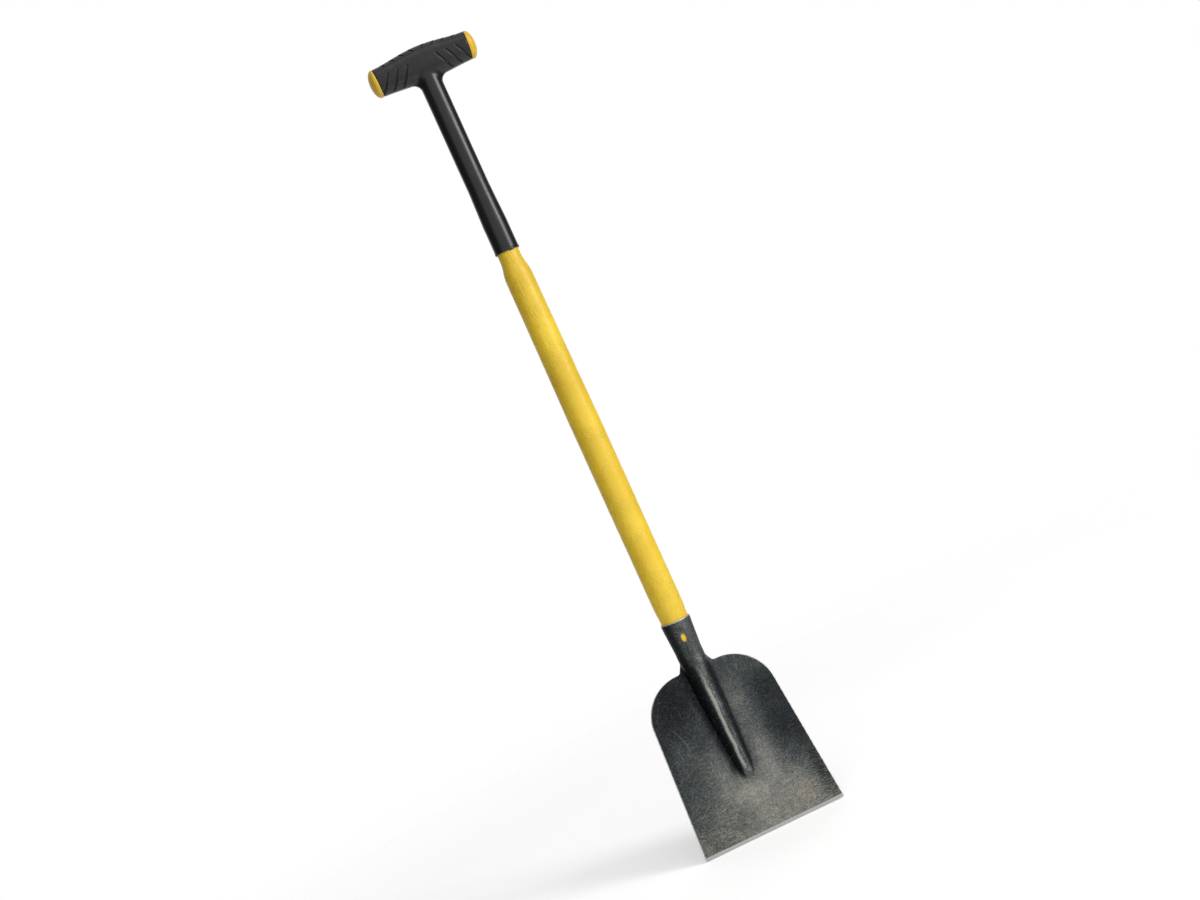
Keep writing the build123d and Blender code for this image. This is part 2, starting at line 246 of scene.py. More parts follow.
def relaxed(points, edges, weight, rounds):
    """The rows after each has moved towards the mean of its neighbours' rows, round after round."""
    a, b = edges.T
    count = np.bincount(edges.ravel(), minlength=len(points))
    for _ in range(rounds):
        total = [
            np.bincount(a, points[b, i], len(points)) + np.bincount(b, points[a, i], len(points))
            for i in range(points.shape[1])
        ]
        mean = np.stack(total, axis=1) / count[:, None]
        points = points + weight * (mean - points)
    return points


def bulge(mesh, rounds):
    """How far each vertex stands out of its surroundings: above 0 on edges, below 0 in hollows."""
    points = points_of(mesh)
    flatter = relaxed(points, edges_of(mesh), 0.6, rounds)
    return np.sum((points - flatter) * normals_of(mesh), axis=1)


def fine_copy(node, voxel):
    """A CAD node's shape as an even, closed, welded mesh."""
    mesh = frame["nodes"][node].data.copy()
    soup = bmesh.new()
    soup.from_mesh(mesh)
    bmesh.ops.remove_doubles(soup, verts=soup.verts, dist=1e-6)
    soup.to_mesh(mesh)
    soup.free()
    draft = bpy.data.objects.new(node + "_draft", mesh)
    bpy.context.scene.collection.objects.link(draft)
    remesh = draft.modifiers.new("even", "REMESH")
    remesh.mode = "VOXEL"
    remesh.voxel_size = voxel
    return settled(draft)


def settled(draft):
    """The mesh that an object's modifiers make. The object itself is removed."""
    shown = draft.evaluated_get(bpy.context.evaluated_depsgraph_get())
    mesh = bpy.data.meshes.new_from_object(shown)
    bpy.data.objects.remove(draft)
    return mesh


def thinned(mesh):
    """The mesh with fewer triangles where it is flat."""
    draft = bpy.data.objects.new("thinning", mesh)
    bpy.context.scene.collection.objects.link(draft)
    triangles = 2 * len(mesh.polygons)
    thin = draft.modifiers.new("thin", "DECIMATE")
    thin.ratio = min(1.0, MOST_TRIANGLES / triangles)
    return settled(draft)


def finish_piece(name, mesh, node, material):
    """The mesh as a piece that stands for a CAD node and rides on the one body."""
    mesh = thinned(mesh)
    mesh.materials.clear()
    mesh.materials.append(material)
    mesh.shade_smooth()
    piece = bpy.data.objects.new(name, mesh)
    bpy.context.scene.collection.objects.link(piece)
    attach(piece, "root")
    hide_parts(node)


class Graph:
    """A material's node tree. Each call adds a node and returns the socket that it gives."""

    def __init__(self, name, **values):
        self.material = bpy.data.materials.new(name)
        self.material.use_nodes = True
        self.tree = self.material.node_tree
        self.tree.nodes.clear()
        output = self.add("ShaderNodeOutputMaterial")
        self.shader = self.add("ShaderNodeBsdfPrincipled")
        self.tree.links.new(self.shader.outputs["BSDF"], output.inputs["Surface"])
        for socket, value in values.items():
            self.give(socket.replace("_", " "), value)
        self.where = self.add("ShaderNodeTexCoord").outputs["Object"]

    def add(self, kind, inputs=None, **settings):
        node = self.tree.nodes.new(kind)
        for key, value in settings.items():
            setattr(node, key, value)
        for key, value in (inputs or {}).items():
            self.plug(node.inputs[key], value)
        return node

    def plug(self, socket, value):
        if isinstance(value, bpy.types.NodeSocket):
            self.tree.links.new(value, socket)
        elif value is not None:
            socket.default_value = value

    def give(self, socket, value):
        self.plug(self.shader.inputs[socket], value)

    def math(self, operation, a, b=None, c=None, clamp=False):
        node = self.add("ShaderNodeMath", {0: a, 1: b, 2: c}, operation=operation, use_clamp=clamp)
        return node.outputs[0]

    def vector(self, operation, a, b):
        return self.add("ShaderNodeVectorMath", {0: a, 1: b}, operation=operation).outputs[0]

    def axes(self, vector):
        return self.add("ShaderNodeSeparateXYZ", {0: vector}).outputs

    def mapped(self, scale):
        return self.add("ShaderNodeMapping", {"Vector": self.where, "Scale": scale}).outputs[0]

    def noise(self, cell, detail=2.0, roughness=0.5, distortion=0.0, source=None, colour=False):
        inputs = {"Vector": source or self.where, "Scale": 1 / cell, "Detail": detail,
                  "Roughness": roughness, "Distortion": distortion}
        return self.add("ShaderNodeTexNoise", inputs).outputs["Color" if colour else "Fac"]

    def creases(self, cell, source):
        """Thin winding folds, 1 along each fold and 0 between them."""
        middle = self.math("SUBTRACT", self.noise(cell, 2.0, 0.5, 0.0, source), 0.5)
        away = self.math("MULTIPLY", self.math("ABSOLUTE", middle), 7.0)
        return self.math("SUBTRACT", 1.0, away, clamp=True)

    def fade(self, value, start, end, low=0.0, high=1.0):
        inputs = {"Value": value, "From Min": start, "From Max": end, "To Min": low, "To Max": high}
        return self.add("ShaderNodeMapRange", inputs, interpolation_type="SMOOTHSTEP").outputs[0]

    def ramp(self, value, *stops):
        node = self.add("ShaderNodeValToRGB", {"Fac": value})
        elements = node.color_ramp.elements
        while len(elements) < len(stops):
            elements.new(0.5)
        for element, (position, colour) in zip(elements, stops):
            element.position = position
            element.color = (*colour, 1)
        return node.outputs["Color"]

    def mix(self, factor, a, b, blend="MIX"):
        a, b = (c if isinstance(c, bpy.types.NodeSocket) else (*c, 1) for c in (a, b))
        node = self.add("ShaderNodeMix", {0: factor, 6: a, 7: b}, data_type="RGBA", blend_type=blend)
        return node.outputs[2]

    def along(self, direction):
        inputs = {0: self.where, 1: tuple(direction)}
        return self.add("ShaderNodeVectorMath", inputs, operation="DOT_PRODUCT").outputs["Value"]

    def layer(self, name):
        return self.add("ShaderNodeAttribute", attribute_name=name).outputs["Fac"]

    def bump(self, height, distance, strength):
        inputs = {"Height": height, "Distance": distance, "Strength": strength}
        return self.add("ShaderNodeBump", inputs).outputs[0]

    def scratches(self, cell, width, share, bow, seed, plane, reach=0.6, spread=FULL_TURN):
        """Separate short scratches, each with its own place, direction and bow, from 0 to 1."""
        shifted = self.vector("ADD", plane, (seed * 3.7, seed * 1.3, 0))
        scaled = self.vector("MULTIPLY", shifted, (1 / cell, 1 / cell, 0))
        cells = self.add("ShaderNodeTexVoronoi", {"Vector": scaled, "Scale": 1.0, "Randomness": 1.0},
                         voronoi_dimensions="2D")
        local = self.vector("SUBTRACT", scaled, cells.outputs["Position"])
        chance = self.axes(cells.outputs["Color"])
        angle = self.math("MULTIPLY", self.math("SUBTRACT", chance[0], 0.5), spread)
        inputs = {"Vector": local, "Angle": angle}
        turned = self.add("ShaderNodeVectorRotate", inputs, rotation_type="Z_AXIS")
        along, across, _ = self.axes(turned.outputs[0])
        bend = self.math("MULTIPLY", self.math("MULTIPLY", along, along), bow)
        off = self.math("ABSOLUTE", self.math("SUBTRACT", across, bend))
        line = self.fade(off, width / cell, 0.25 * width / cell)
        ends = self.fade(self.math("ABSOLUTE", along), reach, 0.5 * reach)
        picked = self.fade(chance[1], 1 - share, 1 - share + 0.02)
        drawn = self.math("MULTIPLY", self.math("MULTIPLY", line, ends), picked)
        return self.math("MULTIPLY", drawn, self.fade(chance[2], -0.2, 1.0))


def flat_plane(graph):
    """Coordinates over the blade: across, and up along it."""
    across, _, up = graph.axes(graph.where)
    return graph.add("ShaderNodeCombineXYZ", {0: across, 1: up, 2: 0.0}).outputs[0]


def blade_steel():
    """Blue-black rolled steel, rubbed grey towards the cutting edge, with fine specks and scratches; its tone
    layer also paints reflections, highlights and shade into the colour.
    """
    graph = Graph("blade_steel")
    plane = flat_plane(graph)
    warp = graph.vector("MULTIPLY", graph.noise(24 * MM, 1.0, colour=True), (5 * MM, 5 * MM, 0))
    bent = graph.vector("ADD", plane, warp)
    eased = graph.vector("ADD", plane, graph.vector("MULTIPLY", warp, (0.35, 0.35, 0)))
    up = graph.along(UP_BLADE)
    worn = graph.layer("worn")
    near_edge = graph.fade(up, 92 * MM, 36 * MM)
    patches = graph.noise(11 * MM, 3.0, 0.6)
    mottle = graph.noise(2.6 * MM, 2.0, 0.6)
    grain = graph.noise(0.8 * MM, 2.0, 0.7)
    # The tone layer holds painted reflections, a painted crest highlight and painted shade on the ridge,
    # socket and hollows, besides the steel's patina and wear.
    tone = graph.math("MULTIPLY_ADD", patches, 0.26, graph.math("SUBTRACT", graph.layer("tone"), 0.88))
    tone = graph.math("MULTIPLY_ADD", mottle, 0.50, tone)
    tone = graph.math("MULTIPLY_ADD", grain, 1.00, tone)
    colour = graph.ramp(
        tone,
        (0.00, (0.003, 0.004, 0.006)),
        (0.22, (0.012, 0.016, 0.019)),
        (0.45, (0.042, 0.050, 0.051)),
        (0.70, (0.130, 0.136, 0.126)),
        (1.0, (0.33, 0.32, 0.29)),
    )
    warm = graph.fade(graph.noise(26 * MM, 2.0), 0.38, 0.60, 0.35, 1.0)
    warm = graph.math("MULTIPLY", warm, graph.fade(up, 75 * MM, 30 * MM, 0.12, 0.9))
    colour = graph.mix(warm, colour, (1.0, 0.94, 0.86), "MULTIPLY")
    marks = None
    for seed, (cell, width, share, bow, gain, reach) in enumerate(BLADE_SCRATCHES):
        drawn = graph.scratches(cell, width, share, bow, seed + 1, bent, reach)
        drawn = graph.math("MULTIPLY", drawn, gain)
        marks = drawn if marks is None else graph.math("MAXIMUM", marks, drawn)
    rubbed = graph.fade(graph.noise(30 * MM, 2.0, 0.6), 0.36, 0.62, 0.35, 1.0)
    marks = graph.math("MULTIPLY", marks, rubbed)
    edge_patches = graph.fade(graph.noise(22 * MM, 2.0, 0.6), 0.36, 0.60, 0.40, 0.95)
    near_edge = graph.math("MULTIPLY", near_edge, edge_patches)
    for seed, cell in enumerate(EDGE_SCRATCH_CELLS):
        drawn = graph.scratches(cell, 0.20 * MM, 0.8, 0.1, seed + 11, eased, spread=EDGE_SCRATCH_SPREAD)
        marks = graph.math("MAXIMUM", marks, graph.math("MULTIPLY", drawn, near_edge))
    across, deep, up_shaft = graph.axes(graph.where)
    below_socket = graph.fade(up_shaft, MOUTH_Z - 40 * MM, MOUTH_Z - 75 * MM, 0.35, 1.0)
    marks = graph.math("MULTIPLY", marks, below_socket)
    specks = graph.fade(graph.noise(0.7 * MM, 1.0, 0.8), 0.66, 0.76)
    specks = graph.math("MULTIPLY", specks, graph.fade(graph.layer("tone"), 0.0, 0.7, 0.25, 0.8))
    light = graph.math("MULTIPLY", marks, graph.fade(graph.layer("tone"), 0.1, 0.7, 0.4, 0.95))
    light = graph.math("MAXIMUM", light, specks)
    colour = graph.mix(light, colour, (0.47, 0.465, 0.43))
    # Rims: rubbed bare metal, with a painted highlight along the cut edges in the same light colour.
    colour = graph.mix(graph.math("MULTIPLY", worn, 0.95), colour, (0.62, 0.61, 0.57))
    lines = graph.noise(1.2 * MM, 3.0, 0.6, 0.0, graph.mapped((1, 0.1, 0.1)))
    ground = graph.fade(up, *GROUND_STRIP)
    ground = graph.math("MULTIPLY", ground, graph.fade(graph.along(FRONT), 0.0, 0.4 * MM))
    ground_steel = graph.ramp(lines, (0.3, (0.36, 0.36, 0.35)), (0.7, (0.48, 0.48, 0.465)))
    colour = graph.mix(ground, colour, ground_steel)
    seam_foot = MOUTH_Z - SEAM_LENGTH
    seam = graph.fade(graph.math("ABSOLUTE", across), 0.55 * MM, 0.35 * MM)
    seam = graph.math("MULTIPLY", seam, graph.fade(deep, SHAFT_Y + 11 * MM, SHAFT_Y + 13 * MM))
    seam = graph.math("MULTIPLY", seam, graph.fade(up_shaft, seam_foot, seam_foot + 1 * MM))
    colour = graph.mix(seam, colour, (0.002, 0.002, 0.002))
    graph.give("Base Color", colour)
    graph.give("Metallic", graph.math("MULTIPLY_ADD", light, 0.2, 0.75))
    rough = graph.fade(patches, 0.35, 0.65, 0.52, 0.42)
    rough = graph.math("MULTIPLY_ADD", marks, -0.08, rough)
    graph.give("Roughness", graph.math("MULTIPLY_ADD", ground, 0.1, rough))
    relief = graph.math("MULTIPLY_ADD", marks, -0.5, graph.math("MULTIPLY", grain, 0.6))
    relief = graph.math("MULTIPLY_ADD", mottle, 0.9, relief)
    graph.give("Normal", graph.bump(relief, 0.12 * MM, 0.8))
    return graph.material


def yellow_jacket():
    """Bright yellow moulded plastic with a wrinkled, orange-peel skin, painted shade in its folds, and faint
    scuffs.
    """
    graph = Graph("yellow_jacket", IOR=1.48)
    broad = graph.noise(70 * MM, 3.0, 0.5)
    blotch = graph.noise(9 * MM, 3.0, 0.6)
    drift = graph.vector("MULTIPLY", graph.noise(12 * MM, 1.0, colour=True), (7 * MM, 7 * MM, 7 * MM))
    warped = graph.vector("ADD", graph.where, drift)
    creases = graph.creases(4.2 * MM, warped)
    small = graph.creases(1.9 * MM, warped)
    patch = graph.fade(graph.noise(34 * MM, 2.0), 0.42, 0.60, 0.12, 1.0)
    colour = graph.ramp(broad, (0.35, (0.72, 0.475, 0.026)), (0.65, (0.84, 0.585, 0.036)))
    colour = graph.mix(graph.fade(blotch, 0.52, 0.72, 0.0, 0.30), colour, (0.64, 0.43, 0.030))
    # Painted shade in the folds of the wrinkles: the creases darken the colour.
    crease_shade = graph.math("MULTIPLY", graph.fade(creases, 0.75, 1.0), patch)
    colour = graph.mix(graph.math("MULTIPLY", crease_shade, 0.30), colour, (0.48, 0.32, 0.02))
    stretched = graph.mapped((1, 1, 0.35))
    scuff = graph.fade(graph.noise(14 * MM, 5.0, 0.75, 0.4, stretched), 0.66, 0.76, 0.0, 0.30)
    colour = graph.mix(scuff, colour, (0.36, 0.29, 0.09))
    graph.give("Base Color", colour)
    graph.give("Roughness", graph.fade(graph.noise(18 * MM, 3.0, 0.6), 0.35, 0.65, 0.32, 0.44))
    height = graph.math("MULTIPLY_ADD", small, 0.35, creases)
    height = graph.math("MULTIPLY", graph.math("MULTIPLY", height, patch), -1.0)
    height = graph.math("MULTIPLY_ADD", graph.noise(1.0 * MM, 2.0), 0.25, height)
    graph.give("Normal", graph.bump(height, 0.30 * MM, 0.8))
    return graph.material


def yellow_cap():
    """The caps' deeper yellow plastic, finely textured and slightly rubbed."""
    graph = Graph("yellow_cap", IOR=1.48)
    broad = graph.noise(16 * MM, 3.0, 0.55)
    fine = graph.noise(0.9 * MM, 2.0, 0.6)
    colour = graph.ramp(broad, (0.35, (0.66, 0.40, 0.028)), (0.65, (0.78, 0.50, 0.038)))
    rub = graph.fade(graph.noise(5 * MM, 4.0, 0.75), 0.62, 0.76, 0.0, 0.4)
    colour = graph.mix(rub, colour, (0.42, 0.27, 0.05))
    plane = flat_plane(graph)
    marks = graph.scratches(7 * MM, 0.25 * MM, 0.5, 0.3, 9, plane)
    colour = graph.mix(graph.math("MULTIPLY", marks, 0.35), colour, (0.88, 0.68, 0.20))
    graph.give("Base Color", colour)
    graph.give("Roughness", graph.fade(broad, 0.3, 0.7, 0.34, 0.46))
    height = graph.math("MULTIPLY_ADD", marks, -0.5, fine)
    graph.give("Normal", graph.bump(height, 0.10 * MM, 0.6))
    return graph.material


def grip_rubber():
    """Satin black rubber with a fine moulded skin, dusty smudges and a few rubbed lines."""
    graph = Graph("grip_rubber", IOR=1.5)
    stretched = graph.mapped((1, 1, 0.3))
    dust = graph.fade(graph.noise(20 * MM, 4.0, 0.7, 0.5, stretched), 0.50, 0.72)
    fine = graph.noise(0.8 * MM, 3.0, 0.65)
    colour = graph.mix(graph.math("MULTIPLY", dust, 0.6), (0.0055, 0.0057, 0.0066), (0.016, 0.016, 0.017))
    smudges = graph.noise(15 * MM, 5.0, 0.65, 0.8, graph.mapped((1, 1, 0.6)))
    residue = graph.fade(smudges, 0.60, 0.66, 0.0, 0.6)
    colour = graph.mix(residue, colour, (0.022, 0.022, 0.024))
    speck = graph.fade(graph.noise(1.6 * MM, 2.0, 0.75), 0.68, 0.76, 0.0, 0.35)
    colour = graph.mix(speck, colour, (0.045, 0.045, 0.046))
    worn = graph.layer("worn")
    colour = graph.mix(graph.math("MULTIPLY", worn, 0.6), colour, (0.030, 0.030, 0.032))
    marks = graph.scratches(12 * MM, 0.30 * MM, 0.30, 0.1, 4, flat_plane(graph), 0.4)
    colour = graph.mix(graph.math("MULTIPLY", marks, 0.3), colour, (0.06, 0.06, 0.06))
    graph.give("Base Color", colour)
    rough = graph.fade(dust, 0.0, 1.0, 0.30, 0.42)
    rough = graph.math("MULTIPLY_ADD", graph.layer("hollow"), 0.2, rough)
    graph.give("Roughness", rough)
    height = graph.math("MULTIPLY_ADD", marks, -0.4, fine)
    graph.give("Normal", graph.bump(height, 0.08 * MM, 0.6))
    return graph.material


def fibreglass():
    """The shaft's core: straw-coloured resin with glass strands running along it."""
    graph = Graph("fibreglass", IOR=1.52)
    strands = graph.noise(0.7 * MM, 3.0, 0.6, 0.0, graph.mapped((1, 1, 0.02)))
    cloudy = graph.noise(12 * MM, 3.0)
    colour = graph.ramp(strands, (0.35, (0.38, 0.34, 0.20)), (0.65, (0.62, 0.58, 0.42)))
    colour = graph.mix(graph.fade(cloudy, 0.4, 0.65, 0.0, 0.4), colour, (0.34, 0.30, 0.16))
    graph.give("Base Color", colour)
    graph.give("Roughness", graph.fade(strands, 0.3, 0.7, 0.32, 0.5))
    graph.give("Normal", graph.bump(strands, 0.1 * MM, 0.5))
    return graph.material


def grip_nylon():
    """The grip's hard inner frame: black glass-filled nylon."""
    graph = Graph("grip_nylon", IOR=1.53)
    fine = graph.noise(0.6 * MM, 3.0, 0.7)
    fibres = graph.noise(1.2 * MM, 2.0, 0.6, 0.0, graph.mapped((0.15, 1, 1)))
    colour = graph.ramp(fibres, (0.35, (0.012, 0.012, 0.013)), (0.68, (0.045, 0.045, 0.047)))
    graph.give("Base Color", colour)
    graph.give("Roughness", graph.fade(fine, 0.3, 0.7, 0.38, 0.6))
    graph.give("Normal", graph.bump(fine, 0.08 * MM, 0.5))
    return graph.material


def screw_steel():
    """Zinc-plated steel, turned, with a dulled film and small nicks."""
    graph = Graph("screw_steel", Metallic=0.95)
    film = graph.noise(2.5 * MM, 4.0, 0.65)
    turned = graph.noise(0.5 * MM, 1.0, 0.5, 0.0, graph.mapped((1, 0.05, 1)))
    colour = graph.ramp(film, (0.35, (0.30, 0.29, 0.27)), (0.65, (0.58, 0.57, 0.54)))
    graph.give("Base Color", colour)
    graph.give("Roughness", graph.fade(film, 0.3, 0.7, 0.28, 0.48))
    graph.give("Normal", graph.bump(turned, 0.05 * MM, 0.5))
    return graph.material


def blade_piece():
    """The blade head: pressed sheet, dished a little, with rubbed rims that also carry a painted highlight, a
    soft ridge foot, and a skin tone with painted reflections and shade.
    """
    mesh = fine_copy("blade_head", BLADE_VOXEL)
    points = relaxed(points_of(mesh), edges_of(mesh), 0.5, 10)
    up = points @ UP_BLADE
    below_neck = smooth_step(points[:, 2], NECK_TOP_Z, NECK_FOOT_Z)
    side = np.abs(points[:, 0]) / EDGE_HALF
    inner = 1 - smooth_step(side, 0.55, 0.75)
    inside_edge = smooth_step(up, 12 * MM, 25 * MM)
    foot = (inner * inside_edge)[:, None]
    points = relaxed(points, edges_of(mesh), 0.5 * foot, 16)
    dish = DISH_DEPTH * smooth_step(side, 0.35, 1.05) ** 2 * below_neck
    dish *= 1 + 0.35 * np.sin(points[:, 0] * 18 + up * 21)
    uneven = BROAD_DENTS * space_noise(points * (1, 0.4, 1), 38 * MM, 11)
    uneven += SMALL_DENTS * space_noise(points * (1, 0.4, 1), 9 * MM, 12)
    shift = (dish + uneven * smooth_step(up, 0.0, 6 * MM))[:, None] * FRONT
    set_points(mesh, points + shift * below_neck[:, None])
    set_points(mesh, points_of(mesh) + neck_marks(points_of(mesh), normals_of(mesh)))
    set_layer(mesh, "worn", blade_wear_and_edge_highlight(mesh))
    set_layer(mesh, "tone", blade_tone_and_painted_light(mesh))
    finish_piece("blade_head_steel", mesh, "blade_head", blade_steel())


def blade_wear_and_edge_highlight(mesh):
    """How bright the sheet's cut edges are: rubbed bare metal plus a painted highlight along them, less at
    the neck than on the outline.
    """
    points = points_of(mesh)
    sharp = relaxed(bulge(mesh, 9)[:, None], edges_of(mesh), 0.6, 3)[:, 0]
    middle = smooth_step(np.abs(points[:, 0]), 26 * MM, 21 * MM) * (points @ UP_BLADE > 60 * MM)
    middle *= smooth_step(points[:, 2], MOUTH_Z - 2 * MM, MOUTH_Z - 4 * MM)
    return smooth_step(sharp, 0.055 * MM, 0.12 * MM) * (1 - 0.65 * middle)


def spot(across, up, place, reach):
    """1 at a place on the blade, falling softly to 0 by about twice its reach."""
    return np.exp(-((across - place[0]) / reach[0]) ** 2 - ((up - place[1]) / reach[1]) ** 2)


def band(across, middle, reach):
    """1 along a line up the blade, falling softly to both sides."""
    return np.exp(-((across - middle) / reach) ** 2)


def blade_tone_and_painted_light(mesh):
    """How light the steel's skin is painted: lighter towards the cutting edge and in patches, partly wear and
    partly painted reflections, darker at the shoulders; painted shade on the ridge's flanks, in the grooves
    beside it, on the socket's left and in hollows; a painted highlight along the crest.
    """
    points = points_of(mesh)
    across = points[:, 0] / MM
    up = points @ UP_BLADE / MM
    out = points @ FRONT / MM
    # Lighter towards the cutting edge, partly wear and partly painted reflection; then painted reflections
    # and shade in light and dark spots.
    tone = 0.38 + 0.33 * smooth_step(up, 115, 20)
    for place, reach, gain in PAINTED_REFLECTION_SPOTS:
        tone += gain * spot(across, up, place, reach)
    wander = 1.2 * space_noise(points, 9 * MM, 14)
    ridge = smooth_step(out, 2.0, 5.0) * smooth_step(points[:, 2], *RIDGE_PAINTED_LIGHT_Z)
    foot = FOOT_AT_NOSE + FOOT_WIDENING * (up - NOSE_UP) / NOSE_RUN
    groove_shadow_span = (out > -3) * smooth_step(up, 72, 90) * smooth_step(up, 236, 205)
    # Painted shade on the ridge's flanks: the left flank darkened strongly, the right a little.
    tone -= 0.44 * ridge * smooth_step(across, -2.5, -6.0)
    tone -= 0.16 * ridge * smooth_step(across, 3.5, 8.0)
    # Painted shadows in the grooves along the ridge's foot: a broad one on the left, a narrow one on the
    # right.
    tone -= 0.46 * groove_shadow_span * band(across, -foot - 2.0, 4.5)
    tone -= 0.40 * groove_shadow_span * band(across, foot + 0.5, 1.9)
    # Painted highlight along the ridge's crest, which is also rubbed lighter; a softer painted highlight on
    # the upper ridge.
    crest_highlight = smooth_step(np.abs(across + 0.5 + wander), 3.2, 0.6) * smooth_step(points[:, 2], *CREST_HIGHLIGHT_Z)
    crest_highlight *= smooth_step(up, 72, 90)
    soft = smooth_step(np.abs(across - 0.5), 12.0, 1.0) * smooth_step(points[:, 2], *SOFT_HIGHLIGHT_Z)
    tone += ridge * (0.62 * crest_highlight + 0.20 * soft)
    # The socket gets one tone, with painted shade on its left side and painted light on its right.
    socket = smooth_step(points[:, 2], *SOCKET_TONE_AND_SHADE_Z)
    side = 0.10 * smooth_step(across, -4, 10) - 0.40 * smooth_step(across, -6, -16)
    tone = tone * (1 - socket) + socket * (0.50 + side)
    # Painted shade in the broad hollows of the sheet.
    broad = bulge(mesh, 25)
    tone -= 0.35 * smooth_step(-broad, 0.08 * MM, 0.40 * MM)
    tone += 0.10 * space_noise(points, 30 * MM, 13)
    return np.clip(tone, 0, 1)


def neck_marks(points, normals):
    """The forged unevenness of the neck and one small dent on its front."""
    depth = NECK_ROUGHNESS * space_noise(points, 8 * MM, 21)
    dent = np.linalg.norm(points - NECK_DENT_AT, axis=1)
    depth -= NECK_DENT_DEPTH * smooth_step(dent, 3.2 * MM, 0.6 * MM)
    upper = smooth_step(points[:, 2], NECK_FOOT_Z, NECK_TOP_Z)
    behind = (points[:, 1] > SHAFT_Y + 12 * MM) * (points[:, 2] > MOUTH_Z - SEAM_LENGTH)
    seam = SEAM_DEPTH * smooth_step(np.abs(points[:, 0]), 1.1 * MM, 0.3 * MM) * behind
    return normals * (depth * upper - seam)[:, None]


def capsule_distance(across, along, start, end):
    """Distance from a straight line between two places on a surface."""
    run = np.array(end) - np.array(start)
    t = ((across - start[0]) * run[0] + (along - start[1]) * run[1]) / (run @ run)
    t = np.clip(t, 0.0, 1.0)
    return np.hypot(across - start[0] - t * run[0], along - start[1] - t * run[1])


def groove_depth(points):
    """How deep the chevron grooves are at each point, both sides and front and back alike."""
    across = np.abs(points[:, 0])
    turn = np.arctan2(points[:, 2] - BAR_Z, np.abs(points[:, 1] - SHAFT_Y))
    along = turn * BAR_RADIUS
    nearest = np.full(len(points), 1.0)
    sets = ((UPPER_TIPS, UPPER_TIP_DEG, UPPER_END_DEG, UPPER_RUN),
            (LOWER_TIPS, LOWER_TIP_DEG, LOWER_END_DEG, LOWER_RUN))
    for tips, tip_deg, end_deg, run in sets:
        for tip in tips:
            start = (tip, math.radians(tip_deg) * BAR_RADIUS)
            end = (tip + run, math.radians(end_deg) * BAR_RADIUS)
            nearest = np.minimum(nearest, capsule_distance(across, along, start, end))
    on_bar = smooth_step(BAR_HALF - across, 1.0 * MM, 3.0 * MM)
    outside = np.hypot(points[:, 1] - SHAFT_Y, points[:, 2] - BAR_Z) > BAR_RADIUS - 2.5 * MM
    depth = GROOVE_DEPTH * smooth_step(nearest, GROOVE_HALF_WIDTH, GROOVE_FLOOR_HALF)
    return depth * on_bar * outside


def grip_piece():
    """The rubber cover: a crowned bar with chevron grooves and a long sleeve with an uneven lip."""
    mesh = fine_copy("grip_cover", GRIP_VOXEL)
    points = relaxed(points_of(mesh), edges_of(mesh), 0.5, 6)
    set_points(mesh, points)
    normals = normals_of(mesh)
    depth = groove_depth(points)
    wave = 0.05 * MM * space_noise(points, 14 * MM, 31)
    lip = smooth_step(points[:, 2], SLEEVE_END_Z + 7 * MM, SLEEVE_END_Z + 1 * MM)
    ragged = lip * 0.35 * MM * space_noise(points * (1, 1, 0.2), 4 * MM, 32)
    flash = smooth_step(np.linalg.norm((points - FLASH_AT) * (0.6, 1, 1.3), axis=1), 4.5 * MM, 1.0 * MM)
    moved = points + normals * (wave - depth + 0.5 * ragged + FLASH_RISE * flash)[:, None]
    moved[:, 2] += 2 * ragged - FLASH_DROP * flash
    set_points(mesh, moved)
    sharp = bulge(mesh, 5)
    set_layer(mesh, "worn", smooth_step(sharp, 0.05 * MM, 0.2 * MM))
    set_layer(mesh, "hollow", smooth_step(depth, 0.3 * MM, 1.0 * MM))
    finish_piece("grip_cover_rubber", mesh, "grip_cover", grip_rubber())


def jacket_piece():
    """The yellow jacket: a slightly wavy tube, wrinkled in patches, pinched into the socket."""
    mesh = fine_copy("shaft_jacket", JACKET_VOXEL)
    points = relaxed(points_of(mesh), edges_of(mesh), 0.5, 5)
    set_points(mesh, points)
    normals = normals_of(mesh)
    shown = smooth_step(points[:, 2], MOUTH_Z + 1 * MM, MOUTH_Z + 6 * MM)
    shown *= smooth_step(points[:, 2], SLEEVE_END_Z - 1 * MM, SLEEVE_END_Z - 6 * MM)
    patch = smooth_step(space_noise(points, 45 * MM, 41), -0.2, 0.5)
    peel = space_noise(points * (1, 1, 0.8), 3.4 * MM, 42) * (0.03 + 0.12 * patch) * MM
    sag = 0.22 * MM * space_noise(points, 60 * MM, 43)
    pinch = smooth_step(points[:, 2], MOUTH_Z + 26 * MM, MOUTH_Z + 2 * MM)
    ripple = np.sin((points[:, 2] - MOUTH_Z) / (1.6 * MM) + 2.5 * space_noise(points, 9 * MM, 44))
    folds = 0.16 * MM * pinch * ripple * smooth_step(points[:, 0], 2 * MM, 14 * MM)
    ring_at = np.hypot(points[:, 0] - RING_ACROSS, points[:, 2] - SLEEVE_END_Z + RING_BELOW_SLEEVE)
    ring = RING_RISE * smooth_step(np.abs(ring_at - RING_RADIUS), 0.8 * MM, 0.2 * MM)
    ring *= points[:, 1] < SHAFT_Y - 9 * MM
    outer = np.hypot(points[:, 0], points[:, 1] - SHAFT_Y) > JACKET_BORE_LIMIT
    change = ((peel + sag + folds) * shown + ring) * outer
    set_points(mesh, points + normals * change[:, None])
    finish_piece("shaft_jacket_skin", mesh, "shaft_jacket", yellow_jacket())


